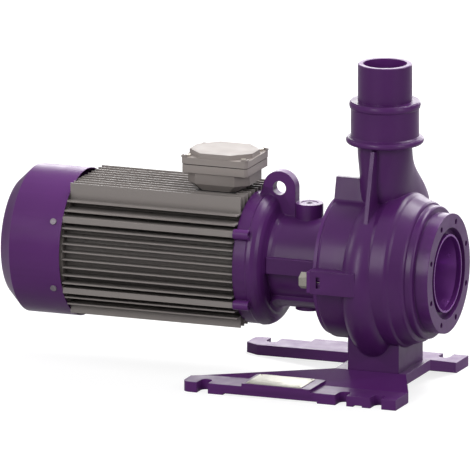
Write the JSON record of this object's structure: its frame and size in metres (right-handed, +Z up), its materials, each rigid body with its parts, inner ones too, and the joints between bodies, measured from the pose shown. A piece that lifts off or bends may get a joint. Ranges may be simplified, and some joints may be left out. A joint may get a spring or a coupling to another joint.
{
  "type": "close-coupled centrifugal drainage pump",
  "caption": "Close-coupled drainage pump: finned motor with fan cover and terminal box, bearing bracket, spiral casing on a foot, upright discharge stub.",
  "frame": {"origin": "centre of the box round the part, on the ground that the base plate stands on", "axes": "+X along the shaft to the suction flange, +Z up along the discharge, +Y to the far side"},
  "size_m": [1.079, 0.484, 0.775],
  "materials": {
    "pump_paint": "gloss",
    "motor_paint": "semi_gloss",
    "fin_metal": "satin",
    "bolt_steel": "brushed",
    "plated_screw": "zinc plated",
    "shaft_steel": "ground",
    "cast_iron": "machined",
    "bearing_steel": "ground",
    "core_steel": "laminated",
    "winding_copper": "enamelled",
    "cast_aluminium": "cast",
    "seal_rubber": "matt",
    "seal_carbide": "lapped",
    "fan_plastic": "moulded",
    "block_plastic": "moulded",
    "stud_brass": "turned"
  },
  "bodies": {
    "pump_unit": {"volute_casing": "pump_paint", "discharge_coupling": "pump_paint", "base_plate": "pump_paint", "bearing_bracket": "pump_paint", "foot_bolts": "bolt_steel", "suction_liner": "pump_paint", "liner_screws": "bolt_steel", "casing_cover": "cast_iron", "cover_o_ring": "seal_rubber", "seal_seat": "seal_carbide", "clamp_bolts": "bolt_steel", "oil_fill_plug": "pump_paint", "oil_drain_plug": "pump_paint", "lip_seal": "seal_rubber", "front_bearing_outer": "bearing_steel", "rear_bearing_outer": "bearing_steel", "bearing_cap": "cast_iron", "wave_spring": "shaft_steel", "motor_frame": "fin_metal", "stator_core": "core_steel", "stator_windings": "winding_copper", "rear_end_shield": "motor_paint", "tie_bolts": "pump_paint", "fan_cover": "pump_paint", "fan_cover_screws": "plated_screw", "terminal_box": "motor_paint", "box_gasket": "seal_rubber", "lid_gasket": "seal_rubber", "terminal_box_lid": "motor_paint", "lid_screws": "plated_screw", "terminal_block": "block_plastic", "terminal_studs": "stud_brass", "entry_plugs": "fan_plastic"},
    "rotor": {"shaft": "shaft_steel", "rotor_core": "core_steel", "rotor_end_rings": "cast_aluminium", "impeller": "cast_iron", "impeller_key": "shaft_steel", "impeller_washer": "shaft_steel", "impeller_bolt": "bolt_steel", "seal_face": "seal_carbide", "seal_bellows": "seal_rubber", "front_bearing_inner": "bearing_steel", "rear_bearing_inner": "bearing_steel", "cooling_fan": "fan_plastic", "fan_key": "shaft_steel", "fan_circlip": "shaft_steel"},
    "front_cage": {"front_bearing_balls": "bearing_steel"},
    "rear_cage": {"rear_bearing_balls": "bearing_steel"}
  },
  "joints": [
    {"name": "rotor_spin", "type": "hinge", "parent": "pump_unit", "child": "rotor", "pos_m": [-0.1605, 0, 0.281], "axis": [1, 0, 0], "continuous": true},
    {"name": "front_cage_spin", "type": "hinge", "parent": "pump_unit", "child": "front_cage", "pos_m": [0.123, 0, 0.281], "axis": [1, 0, 0], "continuous": true},
    {"name": "rear_cage_spin", "type": "hinge", "parent": "pump_unit", "child": "rear_cage", "pos_m": [-0.379, 0, 0.281], "axis": [1, 0, 0], "continuous": true}
  ],
  "couplings": [
    {"joint": "front_cage_spin", "follows": "rotor_spin", "ratio": 0.3812},
    {"joint": "rear_cage_spin", "follows": "rotor_spin", "ratio": 0.38}
  ]
}
